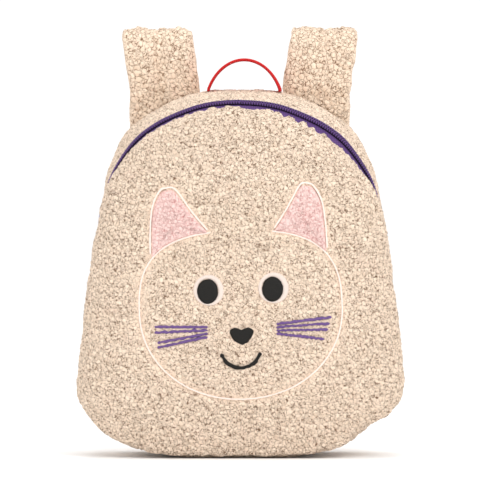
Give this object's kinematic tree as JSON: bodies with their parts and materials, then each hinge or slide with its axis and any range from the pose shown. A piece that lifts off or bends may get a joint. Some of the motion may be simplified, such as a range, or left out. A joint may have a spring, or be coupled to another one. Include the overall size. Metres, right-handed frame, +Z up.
{
  "type": "kids backpack",
  "caption": "Small arched backpack in curly fleece with a zip over its top, padded straps folded behind it, a carry loop and a cat face.",
  "frame": {"origin": "middle of the flat base, on the surface that the bag rests on", "axes": "+Z up, the front with the face looks along -Y, +X is the viewer's right"},
  "size_m": [0.213, 0.1367, 0.2829],
  "materials": {
    "beige_fleece": "curly fleece",
    "pink_fleece": "curly fleece",
    "zip_tape": "woven tape",
    "zip_coil": "moulded coil",
    "zip_slider": "satin",
    "red_webbing": "woven webbing",
    "beige_webbing": "woven webbing",
    "adjuster_plastic": "moulded",
    "cream_stitching": "satin stitch",
    "purple_stitching": "satin stitch",
    "black_stitching": "satin stitch"
  },
  "bodies": {
    "root": {"front_panel": "beige_fleece", "base_gusset": "beige_fleece", "top_gusset": "beige_fleece", "back_panel": "beige_fleece", "zip_tape": "zip_tape", "zip_coil": "zip_coil", "zip_slider": "zip_slider", "carry_handle": "red_webbing", "strap_left": "beige_fleece", "strap_right": "beige_fleece", "webbing_left": "beige_webbing", "webbing_right": "beige_webbing", "adjuster_left": "adjuster_plastic", "adjuster_right": "adjuster_plastic", "head_outline": "cream_stitching", "ear_left": "pink_fleece", "ear_right": "pink_fleece", "ear_trim_left": "cream_stitching", "ear_trim_right": "cream_stitching", "eye_left": "black_stitching", "eye_right": "black_stitching", "eye_ring_left": "cream_stitching", "eye_ring_right": "cream_stitching", "nose": "black_stitching", "mouth": "black_stitching", "whisker_left_1": "purple_stitching", "whisker_left_2": "purple_stitching", "whisker_left_3": "purple_stitching", "whisker_left_4": "purple_stitching", "whisker_right_1": "purple_stitching", "whisker_right_2": "purple_stitching", "whisker_right_3": "purple_stitching", "whisker_right_4": "purple_stitching"}
  },
  "joints": []
}
